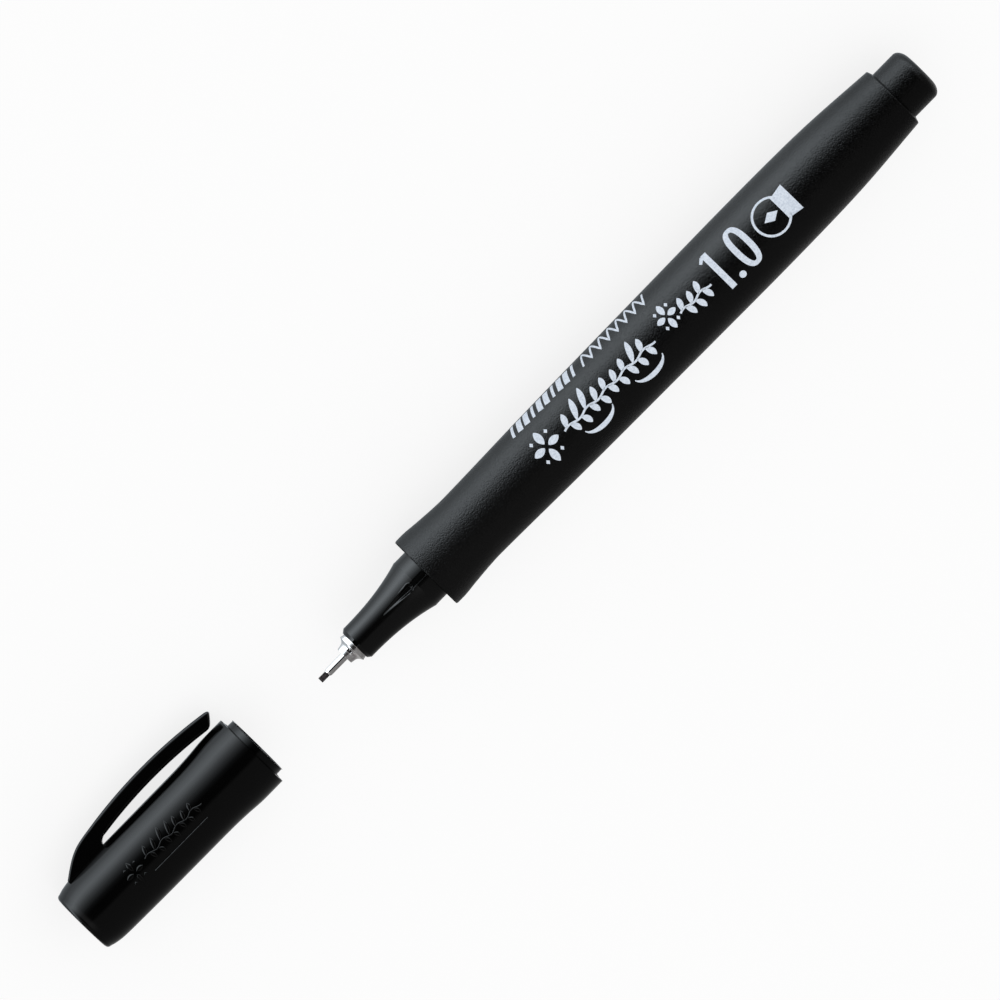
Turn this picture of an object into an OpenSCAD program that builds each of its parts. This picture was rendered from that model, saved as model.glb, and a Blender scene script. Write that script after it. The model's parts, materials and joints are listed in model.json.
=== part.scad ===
// Calligraphy marker with a chisel nib and a push-on cap.
//
// The pen's axis is the X axis and the nib points to +X. The origin is the centre
// of the tail's end face. The cap is drawn off the pen and lies in line with it,
// beyond the nib. The whole lies on its side: the barrel's belly rests on the surface
// below and the clip's edge just clears it, so the clip points to -Y and a little down.

/* [Barrel] */
// Length of the barrel
barrel_len = 99.8; // [90:0.1:115]
// Radius of the barrel at its front edge
barrel_front_r = 6.52; // [6.3:0.01:6.6]
// Radius at the grip, where the barrel is thinnest
grip_r = 5.98; // [5.8:0.01:6.1]
// Greatest radius of the barrel
belly_r = 6.6; // [6.5:0.01:6.8]
// Radius of the barrel at its rear edge
barrel_rear_r = 5.45; // [5.2:0.01:5.6]

/* [Tail plug] */
// Length of the stub that stands out of the barrel
stub_len = 5.6; // [4:0.1:7]
// Radius of the stub
stub_r = 4.5; // [4.4:0.01:4.55]

/* [Section] */
// Length of the straight collar in front of the barrel
collar_len = 2.2; // [2:0.1:3]
// Radius of the collar
collar_r = 4.43; // [4.35:0.01:4.45]
// Length of the nose cone in front of the collar
cone_len = 12.9; // [11.5:0.1:14]
// Radius of the nose cone behind its front rim
cone_front_r = 2.98; // [2.9:0.01:3]
// Width of each vent groove
groove_w = 1.4; // [1.2:0.1:2]

/* [Nib] */
// Radius of the ferrule's flange
flange_r = 2.43; // [2.3:0.01:2.45]
// Thickness of the flange
flange_len = 0.68; // [0.6:0.02:0.9]
// Radius of the ferrule's step at its front
step_r = 1.42; // [1.35:0.01:1.6]
// Length of the step, with the flare at its foot
step_len = 1.57; // [1.4:0.01:2]
// Length of nib tube that stands out of the ferrule
tube_len = 3.6; // [3:0.1:5]
// Radius of the nib tube over its corners
tube_r = 0.69; // [0.66:0.01:0.7]
// Width of the nib, which is the width of its broadest stroke
nib_w = 0.92; // [0.6:0.01:0.92]
// Thickness of the nib
nib_t = 0.5; // [0.3:0.01:0.5]
// Length of nib that stands out of the tube
nib_len = 1.5; // [1:0.1:2]

/* [Cap] */
// Distance that the cap is drawn off the pen
cap_off = 37; // [30:0.5:60]
// Length of the cap's shell
cap_len = 36.2; // [35.5:0.1:37]
// Radius of the shell at the middle
cap_r = 6.09; // [6.05:0.01:6.15]
// Radius of the shell at its mouth
cap_mouth_r = 6.45; // [6.35:0.01:6.5]
// Distance that the inner sleeve stands out of the mouth
lip_len = 1.1; // [1:0.1:1.5]
// Radius of the inner sleeve at its lip
lip_r = 5.43; // [5.38:0.01:5.43]

/* [Clip] */
// Width of the clip
clip_w = 4.6; // [4:0.1:5]
// Thickness of the clip's arm
clip_t = 2.42; // [2:0.02:2.5]
// Greatest distance of the clip's outer face from the pen's axis
clip_top_r = 10.03; // [9.9:0.01:10.2]
// Radius of the arm's arch along its outer face
arch_r = 81; // [75:1:90]
// Radius of the arm's long edges
clip_edge_r = 0.5; // [0.4:0.05:1]
// Gap between the clip and the surface that the pen lies on
clip_gap = 0.18; // [0:0.02:0.6]

/* [Hidden] */

$fn = 96;
eps = 0.01;

// Radial gap between pieces that are pressed together
press_gap = 0.02;

// Places along the pen, from the tail to the nib's tip
barrel_rear_x = stub_len;
barrel_front_x = barrel_rear_x + barrel_len;
collar_front_x = barrel_front_x + collar_len;
rim_x = collar_front_x + cone_len;
flange_front_x = rim_x + flange_len;
step_front_x = flange_front_x + step_len;
tube_front_x = step_front_x + tube_len;
nib_tip_x = tube_front_x + nib_len;

// Places along the cap, in front of the pen
mouth_x = barrel_front_x + cap_off;
cap_end_x = mouth_x + cap_len;

// Inside the barrel: a groove that takes the cap's lip, and three bores in line
groove_r = 5.58;
groove_depth = 1.75;
plug_x = barrel_front_x - groove_depth;
front_bore_r = 5;
middle_bore_r = 4.7;
rear_bore_r = 4.2;
rear_bore_len = 9;
section_tail_len = 13.6;
section_rear_x = plug_x - section_tail_len;

// Ink reservoir, its film and the feed rod
core_r = 4.1;
film_wall = 0.12;
film_inner_r = core_r + press_gap;
film_outer_r = film_inner_r + film_wall;
core_rear_x = barrel_rear_x + rear_bore_len + 0.2;
core_front_x = section_rear_x - 0.1;
feed_r = 1.15;
feed_depth = 9.5;
feed_rear_x = core_front_x - feed_depth;
tube_rear_x = rim_x - 1.9;

// Turn of the clip about the pen's axis, at which its edge just clears the surface
clip_arm_r = clip_top_r - clip_edge_r;
clip_half_w = clip_w / 2 - clip_edge_r;
lie = asin((belly_r - clip_edge_r - clip_gap) / norm([clip_arm_r, clip_half_w]))
    - atan2(clip_half_w, clip_arm_r);

// Slope of the line through the stations p at station i
function slope(p, i) =
    let (a = p[max(i - 1, 0)], b = p[min(i + 1, len(p) - 1)])
    (b[1] - a[1]) / (b[0] - a[0]);

// Point at the fraction t of the smooth stretch from station i to station i + 1
function between(p, i, t) =
    let (
        run = p[i + 1][0] - p[i][0],
        rise = p[i + 1][1] - p[i][1],
        start = slope(p, i) * run,
        end = slope(p, i + 1) * run
    )
    [
        p[i][0] + run * t,
        p[i][1] + start * t + (3 * rise - 2 * start - end) * pow(t, 2)
            + (start + end - 2 * rise) * pow(t, 3)
    ];

// Smooth line through the stations p, each [place, radius]
function smooth(p, steps = 6) = [
    for (i = [0:len(p) - 2]) for (k = [0:steps - 1]) between(p, i, k / steps),
    p[len(p) - 1]
];

// Quarter of an ellipse from [0, 1] to [1, 0] of its half axes, about a centre
function quarter(centre, half, steps = 8) = [
    for (k = [0:steps])
        centre + [half[0] * sin(90 * k / steps), half[1] * cos(90 * k / steps)]
];

// Points listed from the last to the first
function backwards(p) = [for (i = [len(p) - 1:-1:0]) p[i]];

// Solid turned about the pen's axis from an outline of [place, radius] points.
// A point that repeats the one before it is left out.
module turned(outline) {
    rotate([0, 90, 0]) rotate_extrude() polygon([
        for (i = [0:len(outline) - 1])
            if (i == 0 || norm(outline[i] - outline[max(i - 1, 0)]) > 0.0001)
                [outline[i][1], outline[i][0]]
    ]);
}

// Round bar on the pen's axis
module rod(r, from, to) {
    translate([from, 0, 0]) rotate([0, 90, 0]) cylinder(r = r, h = to - from);
}

// Turns a detail drawn on +Z to the clip's side, which takes +Y to the upper front
module facing() {
    rotate([90 + lie, 0, 0]) children();
}

// Extrudes an outline of [distance from the cap's end, height] across the clip
module across_clip(outline, width) {
    translate([cap_end_x, width / 2, 0]) rotate([90, 0, 0])
        linear_extrude(width) polygon([for (p = outline) [-p[0], p[1]]]);
}

// ---- Barrel -------------------------------------------------------------

// Outline of the barrel, with its places given from its front edge
front_edge_r = 0.1;
rear_edge_r = 0.25;
rear_cone_len = 0.3;
barrel_line = smooth([
    [front_edge_r, barrel_front_r],
    [0.02 * barrel_len, barrel_front_r - 0.01],
    [0.045 * barrel_len, belly_r - 0.32],
    [0.086 * barrel_len, grip_r + 0.01],
    [0.115 * barrel_len, grip_r],
    [0.26 * barrel_len, grip_r + 0.26],
    [0.41 * barrel_len, belly_r - 0.19],
    [0.56 * barrel_len, belly_r - 0.08],
    [0.70 * barrel_len, belly_r],
    [0.82 * barrel_len, belly_r - 0.1],
    [0.89 * barrel_len, belly_r - 0.37],
    [barrel_len - rear_cone_len - rear_edge_r, barrel_rear_r]
]);

module barrel_body() {
    outline = concat(
        [[0, 0]],
        backwards(quarter([front_edge_r, barrel_front_r - front_edge_r],
                          [-front_edge_r, front_edge_r])),
        barrel_line,
        quarter([barrel_len - rear_cone_len - rear_edge_r, barrel_rear_r - rear_edge_r],
                [rear_edge_r, rear_edge_r]),
        [[barrel_len, stub_r + 0.05], [barrel_len, 0]]
    );
    turned([for (p = outline) [barrel_front_x - p[0], p[1]]]);
}

module barrel() {
    rib_count = 6;
    rib_w = 0.8;
    rib_foot_r = film_outer_r + 0.04;
    color("#17181a") {
        difference() {
            barrel_body();
            rod(groove_r, plug_x, barrel_front_x + 1);
            rod(front_bore_r, section_rear_x, plug_x + eps);
            rod(middle_bore_r, barrel_rear_x + rear_bore_len, section_rear_x + eps);
            rod(rear_bore_r, barrel_rear_x - 1, barrel_rear_x + rear_bore_len + eps);
        }
        // Ribs that centre the reservoir and leave air round it
        for (i = [0:rib_count - 1])
            rotate([i * 360 / rib_count, 0, 0])
                translate([core_rear_x + 4, -rib_w / 2, rib_foot_r])
                    cube([core_front_x - core_rear_x - 8, rib_w,
                          middle_bore_r + 0.15 - rib_foot_r]);
    }
}

// ---- Tail plug ----------------------------------------------------------

module tail_plug() {
    end_round = [1.4, 2.1];
    spigot_r = rear_bore_r - press_gap;
    hollow_r = 3.2;
    end_wall = 2;
    spigot_x = barrel_rear_x + rear_bore_len - 0.2;
    fin_t = 0.8;
    color("#1a1b1d") {
        difference() {
            turned(concat(
                [[0, 0]],
                backwards(quarter([end_round[0], stub_r - end_round[1]],
                                  [-end_round[0], end_round[1]])),
                [[stub_len, stub_r], [stub_len, spigot_r], [spigot_x, spigot_r], [spigot_x, 0]]
            ));
            rod(hollow_r, end_wall, spigot_x + 1);
        }
        // Crossed fins that press on the reservoir
        for (turn = [0, 90])
            rotate([turn, 0, 0])
                translate([end_wall - eps, -hollow_r - 0.1, -fin_t / 2])
                    cube([spigot_x - end_wall + 0.2, 2 * hollow_r + 0.2, fin_t]);
    }
}

// ---- Ink reservoir and feed --------------------------------------------

module ink_reservoir() {
    color("#3a3733") difference() {
        rod(core_r, core_rear_x, core_front_x);
        rod(feed_r + press_gap, feed_rear_x, core_front_x + 1);
    }
}

module reservoir_film() {
    color("#d9dde0") difference() {
        rod(film_outer_r, core_rear_x, core_front_x);
        rod(film_inner_r, core_rear_x - 1, core_front_x + 1);
    }
}

module feed_rod() {
    color("#2b2a28") rod(feed_r, feed_rear_x, tube_rear_x);
}

// ---- Section ------------------------------------------------------------

// The nose cone widens from its rim to its ridge by a power of the distance
rim_chamfer = 0.56;
rim_r = cone_front_r - 0.45;
ridge_r = collar_r + 0.04;
ridge_x = collar_front_x + 0.05;
cone_power = 2.35;

// Turn of the vent grooves about the pen's axis, measured from the clip
vent_turn = 3;

function cone_radius(x) =
    let (u = (rim_x - rim_chamfer - x) / (rim_x - rim_chamfer - ridge_x))
    cone_front_r + (ridge_r - cone_front_r) * pow(u, cone_power);

module section_body() {
    steps = 20;
    cone_x = rim_x - rim_chamfer;
    turned(concat(
        [
            [section_rear_x, 0], [section_rear_x, front_bore_r - 0.4],
            [section_rear_x + 0.4, front_bore_r - press_gap],
            [plug_x, front_bore_r - press_gap], [plug_x, collar_r],
            [collar_front_x - 0.1, collar_r]
        ],
        [for (k = [0:steps - 1])
            let (x = ridge_x + (cone_x - ridge_x) * k / steps) [x, cone_radius(x)]],
        [[cone_x, cone_front_r], [rim_x, rim_r], [rim_x, 0]]
    ));
}

// Vent groove: a U with a flat floor that runs out on the cone
module vent_groove() {
    steps = 12;
    round_r = groove_w / 2;
    back_x = ridge_x + 0.35;
    run_out_x = back_x + 6.3;
    floor_h = 3.68;
    floor_fall = 5;
    notch_w = 0.9;
    outline = concat(
        [for (k = [0:steps])
            [round_r - round_r * sin(180 * k / steps), -round_r * cos(180 * k / steps)]],
        [[run_out_x - back_x, 0.25], [run_out_x - back_x, -0.25]]
    );
    // The groove on +Y
    translate([back_x, floor_h, 0]) rotate([-90, 0, 0]) rotate([0, floor_fall, 0])
        linear_extrude(2) polygon(outline);
    // Notch from the groove through the ridge
    translate([collar_front_x - 0.15, collar_r - 0.28, -notch_w / 2])
        cube([back_x - collar_front_x + 0.5, 1, notch_w]);
}

module section() {
    rim_notch_w = 0.95;
    color("#0f1012") difference() {
        section_body();
        rod(2 + press_gap, rim_x - 6.2, rim_x + 1);
        rod(feed_r + 0.1, section_rear_x - 1, rim_x - 6);
        rod(3.9, section_rear_x - 1, section_rear_x + 11);
        facing() for (side = [0, 180]) rotate([side + vent_turn, 0, 0]) {
            vent_groove();
            // Air notch in the front rim
            translate([rim_x - rim_chamfer, 2, -rim_notch_w / 2])
                cube([1, 1, rim_notch_w]);
        }
    }
}

// ---- Ferrule, nib tube and nib -----------------------------------------

module ferrule() {
    edge = 0.06;
    skirt_r = 2;
    skirt_x = rim_x - 6;
    vent_at = 0.33;
    vent_w = 0.74;
    vent_len = 0.43;
    // Flare from the flange down to the step, with its places given from the flange
    flare = smooth([
        [0, flange_r - edge], [0.16, step_r + 0.68], [0.34, step_r + 0.42],
        [0.52, step_r + 0.26], [0.75, step_r + 0.15], [1.1, step_r + 0.08],
        [step_len - edge, step_r]
    ], 3);
    color("#c9cbce") difference() {
        turned(concat(
            [[skirt_x, 0], [skirt_x, skirt_r], [rim_x, skirt_r], [rim_x, flange_r - edge],
             [rim_x + edge, flange_r], [flange_front_x - edge, flange_r]],
            [for (p = flare) [flange_front_x + p[0], p[1]]],
            [[step_front_x, step_r - edge], [step_front_x, 0]]
        ));
        rod(tube_r + 0.01, tube_rear_x, step_front_x + 1);
        rod(feed_r + 0.05, skirt_x - 1, tube_rear_x + eps);
        // Air vents at the foot of the step
        facing() for (side = [0, 180]) rotate([side, 0, 0])
            translate([flange_front_x + vent_at, step_r - 0.15, -vent_w / 2])
                cube([vent_len, 1, vent_w]);
    }
}

module nib_tube() {
    chamfer = 0.14;
    color("#c4c6c9") difference() {
        intersection() {
            facing() translate([tube_rear_x, 0, 0]) rotate([0, 90, 0])
                cylinder(r = tube_r, h = tube_front_x - tube_rear_x, $fn = 8);
            turned([
                [tube_rear_x - 1, 0], [tube_rear_x - 1, 1], [tube_front_x - chamfer - 0.2, 1],
                [tube_front_x - chamfer, tube_r - 0.02], [tube_front_x, tube_r - chamfer],
                [tube_front_x, 0]
            ]);
        }
        rod(norm([nib_w, nib_t]) / 2 + 0.006, tube_rear_x - 1, tube_front_x + 1);
    }
}

module nib() {
    color("#0b0b0c") facing()
        translate([tube_rear_x, -nib_t / 2, -nib_w / 2])
            cube([nib_tip_x - tube_rear_x, nib_t, nib_w]);
}

// ---- Cap ----------------------------------------------------------------

// Places along the clip, from the cap's closed end
root_start = 3;
knuckle_at = 11.4;
arch_top_at = 22.5;
arch_centre_h = clip_top_r - arch_r;
arm_mid_r = arch_r - clip_t / 2;
knuckle_r = clip_t / 2;
knuckle_turn = asin((arch_top_at - knuckle_at) / arm_mid_r);
knuckle_h = arch_centre_h + arm_mid_r * cos(knuckle_turn);
seat_gap = 0.06;

// Outline of the shell, with its places given from its closed end
cap_round = 0.6;
cap_line = smooth([
    [cap_round, cap_r - 0.69],
    [1.5, cap_r - 0.43],
    [3, cap_r - 0.21],
    [6, cap_r - 0.12],
    [12, cap_r - 0.04],
    [20, cap_r],
    [cap_len - 10.2, cap_r + 0.03],
    [cap_len - 7.2, cap_r + 0.15],
    [cap_len - 4.2, cap_mouth_r - 0.01],
    [cap_len - 0.12, cap_mouth_r]
]);

// Depths from the cap's closed end of the step in its bore and of its end wall
cap_end_wall = 1.9;
cap_step_at = cap_len - 7.6;

module clip_root() {
    arch_end = 10.4;
    foot_h = 5.3;
    root_rear = 10.75;
    arch_h = arch_centre_h + sqrt(pow(arch_r, 2) - pow(arch_top_at - arch_end, 2));
    ramp = smooth([
        [root_start, 5.95], [4.5, 7], [6, 7.92], [7.5, 8.56], [9, 8.91], [arch_end, arch_h]
    ]);
    difference() {
        across_clip(concat(
            [[root_start - 0.3, foot_h]], ramp, [[root_rear, 6.8], [root_rear, foot_h]]
        ), clip_w);
        translate([cap_end_x - knuckle_at, 0, knuckle_h]) rotate([90, 0, 0])
            cylinder(r = knuckle_r + seat_gap, h = clip_w + 1, center = true);
    }
}

module cap_shell() {
    bore_r = 4.95;
    outline = concat(
        [[0, 0]],
        backwards(quarter([cap_round, cap_r - 0.69 - cap_round], [-cap_round, cap_round])),
        cap_line,
        [[cap_len, cap_mouth_r - 0.12], [cap_len, 0]]
    );
    color("#0c0d0e") difference() {
        union() {
            turned([for (p = outline) [cap_end_x - p[0], p[1]]]);
            facing() clip_root();
        }
        rod(bore_r, mouth_x - 1, cap_end_x - cap_end_wall);
        rod(lip_r + press_gap, mouth_x - 1, cap_end_x - cap_step_at);
    }
}

module cap_sleeve() {
    lip_edge = 0.15;
    body_r = 4.6;
    collar_fit_r = collar_r + 0.1;
    throat_r = 3.22;
    chamber_r = 3;
    taper_at = 2.7;
    throat_at = 10;
    chamber_at = 16;
    chamber_end = 25.3;
    end_wall = 1.2;
    shoulder_at = cap_len - cap_step_at;
    // Places given from the cap's mouth, inwards
    outside = [
        [-lip_len, 0], [-lip_len, lip_r - lip_edge], [lip_edge - lip_len, lip_r],
        [shoulder_at, lip_r], [shoulder_at, body_r],
        [chamber_end + end_wall - 1, body_r], [chamber_end + end_wall, body_r - 1],
        [chamber_end + end_wall, 0]
    ];
    inside = [
        [-lip_len - 1, 0], [-lip_len - 1, collar_fit_r + 0.2], [-lip_len, collar_fit_r + 0.2],
        [0.2 - lip_len, collar_fit_r], [taper_at, collar_fit_r], [throat_at, throat_r],
        [chamber_at, throat_r], [chamber_at + 0.3, chamber_r],
        [chamber_end - 0.8, chamber_r], [chamber_end, chamber_r - 0.8], [chamber_end, 0]
    ];
    color("#101113") difference() {
        turned([for (p = outside) [mouth_x + p[0], p[1]]]);
        turned([for (p = inside) [mouth_x + p[0], p[1]]]);
    }
}

// Cross-section of the arm, a rectangle with round corners, at its mid radius
module arm_section() {
    steps = 6;
    half = [clip_t / 2 - clip_edge_r, clip_w / 2 - clip_edge_r];
    polygon([
        for (corner = [0:3]) for (k = [0:steps])
            let (
                turn = 90 * (corner + k / steps),
                sx = (corner == 0 || corner == 3) ? 1 : -1,
                sy = corner < 2 ? 1 : -1
            )
            [arm_mid_r + sx * half[0] + clip_edge_r * cos(turn),
             sy * half[1] + clip_edge_r * sin(turn)]
    ]);
}

module pocket_clip() {
    // Slanted tip, with its places given from the cap's closed end
    tip = [
        [knuckle_at, 4], [33.7, 4], [33.7, 6.8], [34.15, 6.92], [34.45, 7.08], [35.7, 8.33],
        [35.79, 8.5], [35.77, 8.66], [35.6, 8.85], [35.3, 8.98], [34.8, 9.2], [34.8, 12],
        [knuckle_at, 12]
    ];
    tip_turn = 10;
    color("#0c0d0e") facing() {
        intersection() {
            across_clip(tip, clip_w + 1);
            translate([cap_end_x - arch_top_at, 0, arch_centre_h]) rotate([90, 0, 0])
                rotate([0, 0, 90 - knuckle_turn - 0.5])
                    rotate_extrude(angle = knuckle_turn + 0.5 + tip_turn, $fn = 240)
                        arm_section();
        }
        translate([cap_end_x - knuckle_at, 0, knuckle_h]) rotate([90, 0, 0])
            cylinder(r = knuckle_r, h = clip_w - 2 * clip_edge_r, center = true);
    }
}

barrel();
tail_plug();
ink_reservoir();
reservoir_film();
feed_rod();
section();
ferrule();
nib_tube();
nib();
cap_shell();
cap_sleeve();
pocket_clip();
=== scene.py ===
"""The looks of a calligraphy marker that lies on its side with its cap drawn off.

Lengths in this file are in millimetres, and MM turns them into the frame's metres. Ends
and radii are read from the frame, and the lines between them follow the design's stations.
A turn is an angle in degrees about the pen's axis, counted from the side that bears the
print towards the side of the clip.
"""
import json
import math

import bmesh
import bpy
from mathutils import Matrix, Vector


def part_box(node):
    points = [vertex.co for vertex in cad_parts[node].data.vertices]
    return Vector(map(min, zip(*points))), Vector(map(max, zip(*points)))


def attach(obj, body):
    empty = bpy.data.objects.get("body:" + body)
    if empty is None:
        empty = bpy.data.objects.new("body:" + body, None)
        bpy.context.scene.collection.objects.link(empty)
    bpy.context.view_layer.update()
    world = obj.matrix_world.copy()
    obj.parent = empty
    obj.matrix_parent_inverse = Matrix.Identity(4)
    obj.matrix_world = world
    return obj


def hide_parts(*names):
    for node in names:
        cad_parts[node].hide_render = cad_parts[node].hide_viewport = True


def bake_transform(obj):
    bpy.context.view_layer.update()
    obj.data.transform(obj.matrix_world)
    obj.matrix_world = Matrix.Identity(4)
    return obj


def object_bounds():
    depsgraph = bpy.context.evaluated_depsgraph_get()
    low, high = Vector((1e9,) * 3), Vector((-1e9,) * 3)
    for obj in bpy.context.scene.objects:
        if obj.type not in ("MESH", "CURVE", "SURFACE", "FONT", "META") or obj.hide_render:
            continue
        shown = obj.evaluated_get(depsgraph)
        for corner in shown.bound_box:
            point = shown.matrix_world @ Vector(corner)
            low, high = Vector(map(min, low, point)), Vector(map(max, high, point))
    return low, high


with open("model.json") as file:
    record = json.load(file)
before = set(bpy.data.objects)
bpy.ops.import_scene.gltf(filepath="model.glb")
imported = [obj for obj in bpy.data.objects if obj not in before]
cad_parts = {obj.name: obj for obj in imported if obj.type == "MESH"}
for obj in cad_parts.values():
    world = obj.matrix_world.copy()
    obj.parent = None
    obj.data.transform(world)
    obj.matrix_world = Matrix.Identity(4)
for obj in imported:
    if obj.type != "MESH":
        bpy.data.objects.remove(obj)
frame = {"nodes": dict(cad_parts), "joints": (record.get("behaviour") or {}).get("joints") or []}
cad_low, cad_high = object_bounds()

MM = 0.001
AROUND = 192  # steps round a turned piece

# ---- Places from the frame ---------------------------------------------------------

HINGE_AXIS = next(j["axis"] for j in frame["joints"] if j["name"] == "clip_flex")
FACING = Vector(HINGE_AXIS).normalized()  # the way that the print looks
CLIP_SIDE = FACING.cross(Vector((-1, 0, 0)))  # the way that the clip points


def ends_of(node):
    """Rear and front end and greatest radius of a CAD node, in millimetres."""
    low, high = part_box(node)
    return low.x / MM, high.x / MM, high.z / MM


BARREL_REAR, BARREL_FRONT, BELLY_R = ends_of("barrel")
_, PLUG_FRONT, STUB_R = ends_of("tail_plug")
SECTION_REAR, RIM_X, _ = ends_of("section")
SKIRT_X, STEP_FRONT, FLANGE_R = ends_of("ferrule")
TUBE_REAR, TUBE_FRONT, _ = ends_of("nib_tube")
NIB_TIP = ends_of("nib")[1]
MOUTH_X, CAP_END, CAP_MOUTH_R = ends_of("cap_shell")
LIP_X, SLEEVE_END, LIP_R = ends_of("cap_sleeve")
BARREL_LEN = BARREL_FRONT - BARREL_REAR
CAP_LEN = CAP_END - MOUTH_X

# ---- Camera and light --------------------------------------------------------------

CAMERA_AWAY = 2500
VIEW_WIDE = 149.25  # length across the picture at the pen's axis
SENSOR = 36
PEN_TILT = math.radians(45.54)  # turn of the pen's axis in the picture
LOOK_AT = Vector((BARREL_FRONT - 15.55, 0, 0)) - 0.26 * CLIP_SIDE


def add_camera():
    """A long lens square to the pen, turned so that the pen runs up to the right."""
    to_tail = Vector((-1, 0, 0))
    right = math.cos(PEN_TILT) * to_tail - math.sin(PEN_TILT) * CLIP_SIDE
    up = math.sin(PEN_TILT) * to_tail + math.cos(PEN_TILT) * CLIP_SIDE
    data = bpy.data.cameras.new("camera")
    data.sensor_width = SENSOR
    data.lens = SENSOR * CAMERA_AWAY / VIEW_WIDE
    data.clip_start, data.clip_end = 0.01, 20
    camera = bpy.data.objects.new("camera", data)
    turn = Matrix((right, up, FACING)).transposed().to_4x4()
    camera.matrix_world = Matrix.Translation((LOOK_AT + FACING * CAMERA_AWAY) * MM) @ turn
    bpy.context.scene.collection.objects.link(camera)
    bpy.context.scene.camera = camera


def add_world():
    """An even light for the floor and, for what glosses reflect, a soft cool glow low on
    the clip's side that fades to black overhead and to dim grey on the far side. Glosses
    that face up and along the pen see a second, even glow."""
    glow = [  # direction round the pen, as a turn, and the light from there
        (-180, 0.45), (-146, 0.252), (-110, 0.164), (-60, 0.2), (-24, 0.191), (-15, 0), (6, 0),
        (18, 0.2), (30, 0.999), (42, 2.331), (54, 4.327), (66, 5.646), (80, 4.261),
        (97, 2.066), (116, 0.923), (145, 0.526), (180, 0.45),
    ]
    cool = (0.86, 0.94, 1.0)
    world = bpy.data.worlds.new("studio")
    world.use_nodes = True
    nodes, links = world.node_tree.nodes, world.node_tree.links
    direction = nodes.new("ShaderNodeTexCoord").outputs["Generated"]

    def math_node(operation, *values):
        node = nodes.new("ShaderNodeMath")
        node.operation = operation
        for socket, value in zip(node.inputs, values):
            if isinstance(value, (int, float)):
                socket.default_value = value
            else:
                links.new(value, socket)
        return node.outputs[0]

    def ranged(value, low, high, kind="LINEAR"):
        node = nodes.new("ShaderNodeMapRange")
        node.interpolation_type = kind
        node.inputs["From Min"].default_value, node.inputs["From Max"].default_value = low, high
        links.new(value, node.inputs["Value"])
        return node.outputs[0]

    parts = []
    for axis in (CLIP_SIDE, FACING, (1, 0, 0)):
        dot = nodes.new("ShaderNodeVectorMath")
        dot.operation = "DOT_PRODUCT"
        dot.inputs[1].default_value = axis
        links.new(direction, dot.inputs[0])
        parts.append(dot.outputs["Value"])
    turn = ranged(math_node("ARCTAN2", parts[0], parts[1]), -math.pi, math.pi)
    ramp = nodes.new("ShaderNodeValToRGB")
    brightest = max(light for _, light in glow)
    stops = ramp.color_ramp.elements
    while len(stops) < len(glow):
        stops.new(0.5)
    for stop, (angle, light) in zip(stops, glow):
        stop.position = (angle + 180) / 360
        share = light / brightest
        tint = cool if angle > 0 else (1, 1, 1)
        stop.color = (*[share * part for part in tint], 1)
    links.new(turn, ramp.inputs[0])
    along = ranged(math_node("ABSOLUTE", parts[2]), 0.35, 0.8, "SMOOTHSTEP")
    above = ranged(parts[1], 0.3, 0.95, "SMOOTHSTEP")
    ends = math_node("MULTIPLY", math_node("MULTIPLY", along, above), 0.9 / brightest)
    both = nodes.new("ShaderNodeVectorMath")
    both.operation = "ADD"
    links.new(ramp.outputs[0], both.inputs[0])
    links.new(ends, both.inputs[1])
    reflected = nodes.new("ShaderNodeBackground")
    reflected.inputs["Strength"].default_value = brightest
    links.new(both.outputs[0], reflected.inputs["Color"])
    even = nodes["Background"]
    even.inputs["Color"].default_value = (1, 1, 1, 1)
    even.inputs["Strength"].default_value = 1.05
    mix, ray = nodes.new("ShaderNodeMixShader"), nodes.new("ShaderNodeLightPath")
    links.new(ray.outputs["Is Glossy Ray"], mix.inputs["Fac"])
    links.new(even.outputs[0], mix.inputs[1])
    links.new(reflected.outputs[0], mix.inputs[2])
    links.new(mix.outputs[0], nodes["World Output"].inputs["Surface"])
    bpy.context.scene.world = world
    bpy.context.scene.view_settings.view_transform = "Standard"


def add_floor():
    """A plain pale floor, lit a little from below, that the glosses don't mirror."""
    half = 4.0  # metres
    middle = (cad_low + cad_high) / 2
    mesh = bpy.data.meshes.new("floor")
    corners = ((-half, -half), (half, -half), (half, half), (-half, half))
    mesh.from_pydata([(middle.x + x, y, cad_low.z) for x, y in corners], [], [(0, 1, 2, 3)])
    floor = bpy.data.objects.new("floor", mesh)
    bpy.context.scene.collection.objects.link(floor)
    material = bpy.data.materials.new("floor")
    material.use_nodes = True
    shader = material.node_tree.nodes["Principled BSDF"]
    shader.inputs["Base Color"].default_value = (0.17, 0.17, 0.17, 1)
    shader.inputs["Emission Color"].default_value = (1, 1, 1, 1)
    shader.inputs["Emission Strength"].default_value = 0.8
    shader.inputs["Roughness"].default_value = 1.0
    shader.inputs["Specular IOR Level"].default_value = 0.0
    floor.data.materials.append(material)
    floor.visible_glossy = False


# ---- Materials ---------------------------------------------------------------------


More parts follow.
